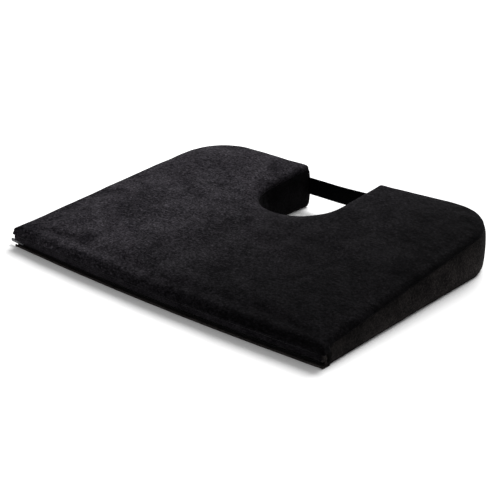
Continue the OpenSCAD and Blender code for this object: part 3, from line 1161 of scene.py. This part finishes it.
class CUSHION_OT_flap(bpy.types.Operator):
    """Makes the folded flap over the zip and its row of stitches"""

    bl_idname = "cushion.flap"
    bl_label = "Flap and stitches"

    def execute(self, context):
        sizes = context.scene.cushion_sizes
        low, high = FLAP_Z, STITCH_Z
        section = [
            (0.0016, high + 0.0012),
            (0.0012, high + 0.0004),
            (0.0009, high - 0.0002),
            (0.0004, high - 0.0010),
            (0.0001, high - 0.0026),
            (0.0001, low + 0.0022),
            (0.0003, low + 0.0009),
            (0.0008, low + 0.0002),
            (0.0013, low),
            (0.0018, low + 0.0003),
            (0.0022, low + 0.0011),
            (0.0023, low + 0.0030),
            (0.0024, high),
            (0.0024, high + 0.0012),
        ]
        flap = front_strip("zip_flap_cloth", sizes, section, 420, wave=0.0003, seed=4)
        outward(flap)
        shade(flap, 60)
        finish_piece(flap, MATERIALS["flap"], ["zip_flap"])
        stitches = self.stitches(sizes)
        shade(stitches, 40)
        finish_piece(stitches, MATERIALS["thread"], ["flap_stitching"])
        return {"FINISHED"}

    def stitches(self, sizes):
        half = side_x(sizes, front_y(HALF_W, 0), 0) - 0.003
        pitch = sizes.stitch + 0.0006
        count = int(2 * half / pitch)
        places = []
        for i in range(count):
            x = -half + (i + 0.5) * pitch
            y = front_y(x, 0.00075)
            along = (1, (front_y(x + 0.001, 0) - front_y(x - 0.001, 0)) / 0.002, 0)
            places.append(((x, y, STITCH_Z - 0.0004), along, (0, 0, 1)))
        size = (sizes.stitch, 0.00045, 0.0005)
        return lay_boxes("flap_stitches", places, size)


class CUSHION_OT_zip(bpy.types.Operator):
    """Makes the zip's coil, slider and pull, and finishes its tapes and stops"""

    bl_idname = "cushion.zip"
    bl_label = "Zip"

    def execute(self, context):
        sizes = context.scene.cushion_sizes
        self.coil(sizes, "zip_coil_upper_turns", "zip_coil_upper", 1)
        self.coil(sizes, "zip_coil_lower_turns", "zip_coil_lower", -1)
        for name in ("zip_tape_upper", "zip_tape_lower"):
            paint(name, MATERIALS["tape"])
        for name in ("zip_top_stops", "zip_bottom_stop"):
            soften(name, 0.0003, MATERIALS["metal"], BODY)
        soften("zip_slider", 0.0002, MATERIALS["metal"], "slider")
        soften("zip_pull", 0.0003, MATERIALS["metal"], "pull")
        return {"FINISHED"}

    def coil(self, sizes, name, node, side):
        """Half of the coil: a row of turns, each from the tape to just past the middle."""
        count = int(2 * COIL_END / sizes.coil_pitch)
        width = (COIL_TOP - COIL_FOOT) / 2
        places = []
        for i in range(count):
            x = -COIL_END + (i + (0.5 if side > 0 else 1.0)) * sizes.coil_pitch
            z = ZIP_Z + side * (width / 2 - 0.0002)
            places.append(((x, front_y(x, sizes.coil_depth), z), (0, 0, 1), (1, 0, 0)))
        turns = lay_boxes(name, places, (width + 0.0004, 0.0015, 0.00062), taper=0.6)
        shade(turns, 40)
        finish_piece(turns, MATERIALS["coil"], [node])


class CUSHION_OT_strap(bpy.types.Operator):
    """Makes the webbing strap across the cut-out"""

    bl_idname = "cushion.strap"
    bl_label = "Strap"

    def execute(self, context):
        low, high = STRAP_LOW, STRAP_HIGH
        middle = (low[1] + high[1]) / 2
        thickness = high[1] - low[1]

        def place(u, v):
            x = low[0] + u * (high[0] - low[0])
            span = max(0.0, 1 - (x / CUT_R) ** 2)
            slack = 0.0006 * span * math.sin(9 * u)
            rib = 0.00006 * math.cos(2 * math.pi * v * 9)
            z = low[2] + v * (high[2] - low[2]) - 0.0008 * span
            return x, middle + slack + rib, z

        strap = grid("strap_webbing_band", 170, 36, place)
        outward(strap)
        thicken(strap, thickness * 0.8, 0.0)
        add_modifier(strap, "BEVEL", width=0.0004, segments=2, limit_method="ANGLE")
        apply_modifiers(strap)
        shade(strap, 40)
        finish_piece(strap, MATERIALS["strap"], ["rear_strap"])
        for name in ("left_strap_bartack", "right_strap_bartack"):
            soften(name, 0.0002, MATERIALS["thread"], BODY)
        return {"FINISHED"}


class CUSHION_PT_panel(bpy.types.Panel):
    """Lists the steps that make the cushion"""

    bl_idname = "CUSHION_PT_panel"
    bl_label = "Seat cushion"
    bl_space_type = "VIEW_3D"
    bl_region_type = "UI"
    bl_category = "Cushion"

    def draw(self, context):
        for step in STEPS:
            self.layout.operator(step.bl_idname)
        for settings in (context.scene.cushion_sizes, context.scene.cushion_colours):
            for name in settings.__annotations__:
                self.layout.prop(settings, name)


STEPS = (
    CUSHION_OT_stage,
    CUSHION_OT_cover,
    CUSHION_OT_corners,
    CUSHION_OT_flap,
    CUSHION_OT_zip,
    CUSHION_OT_strap,
)
CLASSES = (CushionSizes, CushionColours, *STEPS, CUSHION_PT_panel)


def register():
    for item in CLASSES:
        bpy.utils.register_class(item)
    bpy.types.Scene.cushion_sizes = PointerProperty(type=CushionSizes)
    bpy.types.Scene.cushion_colours = PointerProperty(type=CushionColours)


def unregister():
    del bpy.types.Scene.cushion_colours
    del bpy.types.Scene.cushion_sizes
    for item in reversed(CLASSES):
        bpy.utils.unregister_class(item)


def main():
    register()
    MATERIALS.update(make_materials(bpy.context.scene.cushion_colours))
    bpy.ops.cushion.stage()
    bpy.ops.cushion.cover()
    bpy.ops.cushion.corners()
    bpy.ops.cushion.flap()
    bpy.ops.cushion.zip()
    bpy.ops.cushion.strap()


if __name__ == "__main__":
    main()
